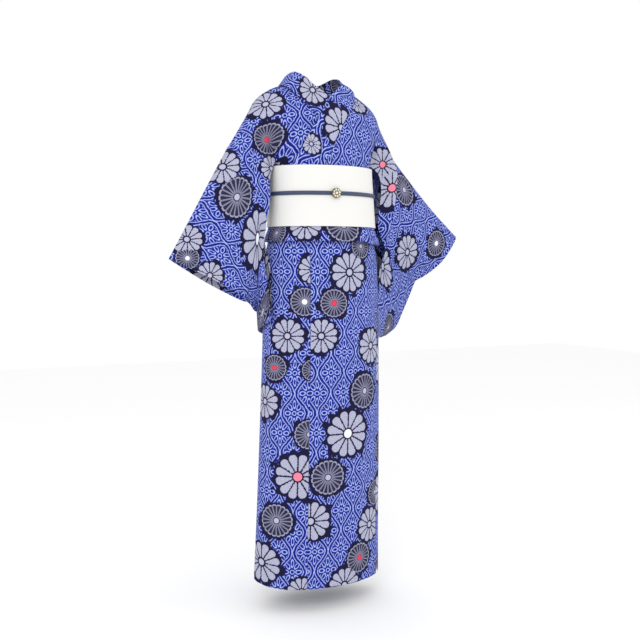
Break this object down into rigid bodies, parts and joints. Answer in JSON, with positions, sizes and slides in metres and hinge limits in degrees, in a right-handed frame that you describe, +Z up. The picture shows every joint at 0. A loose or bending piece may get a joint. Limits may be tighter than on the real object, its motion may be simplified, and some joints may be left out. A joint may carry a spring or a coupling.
{
  "type": "east asian robe",
  "caption": "Worn cotton robe with crossed collar, hanging sleeves, waist fold, stiff sash with flat cord, brooch and plain back bow.",
  "frame": {"origin": "on the neck's axis at shoulder level, where the wearer carries the robe; the floor the wearer stands on is 1.360 m below", "axes": "+Z up, -Y out of the front, +X to the wearer's left"},
  "size_m": [0.8661, 0.2652, 1.3478],
  "materials": {
    "yukata_cotton": "matt dyed cotton",
    "obi_cloth": "fine woven",
    "cord_silk": "braided",
    "brooch_gold": "aged"
  },
  "bodies": {
    "root": {"body_left": "yukata_cotton", "body_right": "yukata_cotton", "sleeve_left": "yukata_cotton", "sleeve_right": "yukata_cotton", "collar": "yukata_cotton", "waist_fold": "yukata_cotton", "okumi_left": "yukata_cotton", "okumi_right": "yukata_cotton", "skirt_front_left": "yukata_cotton", "skirt_front_right": "yukata_cotton", "skirt_back_left": "yukata_cotton", "skirt_back_right": "yukata_cotton", "obi_band": "obi_cloth", "obi_loop_left": "obi_cloth", "obi_loop_right": "obi_cloth", "obi_wrap": "obi_cloth", "cord": "cord_silk", "brooch": "brooch_gold"}
  },
  "joints": []
}
